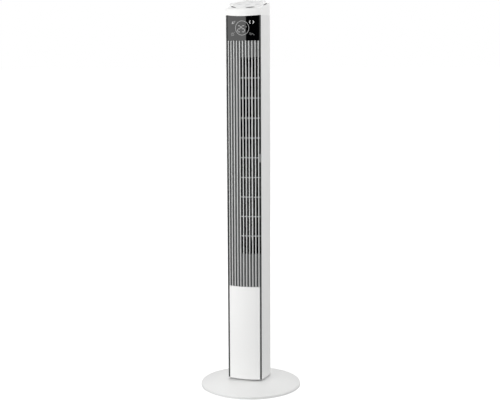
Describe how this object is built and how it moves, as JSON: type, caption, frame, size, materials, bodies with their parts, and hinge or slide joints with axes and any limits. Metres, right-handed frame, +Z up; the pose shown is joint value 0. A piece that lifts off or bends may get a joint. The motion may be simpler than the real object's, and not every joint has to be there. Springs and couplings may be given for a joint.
{
  "type": "tower fan",
  "caption": "Slim white tower fan on a round domed base, with a ribbed front outlet, a black display window and a slanted top with a round key disc.",
  "frame": {"origin": "centre of the base's footprint on the floor, on the axis that the tower swings about", "axes": "+Z up along the tower, the outlet grille faces -Y, +X to the viewer's right when the front is faced"},
  "size_m": [0.3, 0.2999, 1.153],
  "materials": {
    "white_shell": "fine satin, injection moulded",
    "white_gloss": "semi-gloss white",
    "grey_plastic": "matte",
    "frame_grey": "satin dark grey",
    "silver_bars": "satin silver-grey paint",
    "clip_grey": "matte",
    "black_window": "polished black acrylic",
    "disc_grey": "satin light grey",
    "key_grey": "satin light grey",
    "black_duct": "matte black",
    "wheel_grey": "matte near-black",
    "pale_bearing_plastic": "natural acetal",
    "rubber": "matte",
    "screw_steel": "zinc plated",
    "shaft_steel": "ground",
    "bracket_steel": "zinc plated sheet",
    "motor_can": "zinc grey",
    "ballast_iron": "as cast",
    "bronze": "sintered bronze",
    "board_green": "solder-masked board with parts"
  },
  "bodies": {
    "base": {"base_shell_front": "white_shell", "base_shell_rear": "white_shell", "base_floor": "grey_plastic", "base_screws": "screw_steel", "base_ballast": "ballast_iron", "rubber_feet": "rubber", "pivot_post": "grey_plastic", "slide_ring": "pale_bearing_plastic", "cord_grommet": "rubber", "fixed_gear": "pale_bearing_plastic", "retaining_ring": "screw_steel"},
    "tower": {"tower_foot": "grey_plastic", "rear_housing": "white_shell", "handle_cover": "white_shell", "rear_grille": "white_shell", "handle_cup": "white_shell", "housing_screws": "screw_steel", "front_frame": "frame_grey", "lower_panel": "white_gloss", "outlet_grille": "silver_bars", "grille_clip": "clip_grey", "display_window": "black_window", "display_board": "board_green", "top_cap": "white_gloss", "trim_ring": "white_gloss", "control_disc": "disc_grey", "key_board": "board_green", "swing_motor": "motor_can", "swing_motor_bracket": "bracket_steel", "fan_motor": "motor_can", "motor_dampers": "rubber", "duct_floor": "black_duct", "duct_ceiling": "black_duct", "volute_wall": "black_duct", "tongue_wall": "black_duct", "bearing_bush": "rubber", "bearing_sleeve": "bronze", "power_board": "board_green", "board_standoffs": "grey_plastic"},
    "fan_wheel": {"impeller": "wheel_grey", "motor_shaft": "shaft_steel", "top_axle": "shaft_steel"},
    "pinion": {"swing_pinion": "pale_bearing_plastic"},
    "power_key": {"power_key": "key_grey"},
    "speed_key": {"speed_key": "key_grey"},
    "timer_key": {"timer_key": "key_grey"},
    "mode_key": {"mode_key": "key_grey"},
    "swing_key": {"swing_key": "key_grey"}
  },
  "joints": [
    {"name": "tower_swing", "type": "hinge", "parent": "base", "child": "tower", "pos_m": [0, 0, 0.0355], "axis": [0, 0, 1], "range_deg": [-40, 40]},
    {"name": "fan_spin", "type": "hinge", "parent": "tower", "child": "fan_wheel", "pos_m": [-0.004, 0.008, 0.7], "axis": [0, 0, 1], "continuous": true},
    {"name": "pinion_spin", "type": "hinge", "parent": "tower", "child": "pinion", "pos_m": [0, 0.03605, 0.05], "axis": [0, 0, 1], "range_deg": [-205, 205]},
    {"name": "power_key_press", "type": "slide", "parent": "tower", "child": "power_key", "axis": [0, 0.2351, -0.972], "range_m": [0, 0.0008], "stiffness_N_per_m": 500, "springref_m": -0.0006},
    {"name": "speed_key_press", "type": "slide", "parent": "tower", "child": "speed_key", "axis": [0, 0.2351, -0.972], "range_m": [0, 0.0008], "stiffness_N_per_m": 500, "springref_m": -0.0006},
    {"name": "timer_key_press", "type": "slide", "parent": "tower", "child": "timer_key", "axis": [0, 0.2351, -0.972], "range_m": [0, 0.0008], "stiffness_N_per_m": 500, "springref_m": -0.0006},
    {"name": "mode_key_press", "type": "slide", "parent": "tower", "child": "mode_key", "axis": [0, 0.2351, -0.972], "range_m": [0, 0.0008], "stiffness_N_per_m": 500, "springref_m": -0.0006},
    {"name": "swing_key_press", "type": "slide", "parent": "tower", "child": "swing_key", "axis": [0, 0.2351, -0.972], "range_m": [0, 0.0008], "stiffness_N_per_m": 500, "springref_m": -0.0006}
  ],
  "couplings": [
    {"joint": "pinion_spin", "follows": "tower_swing", "ratio": 5}
  ]
}
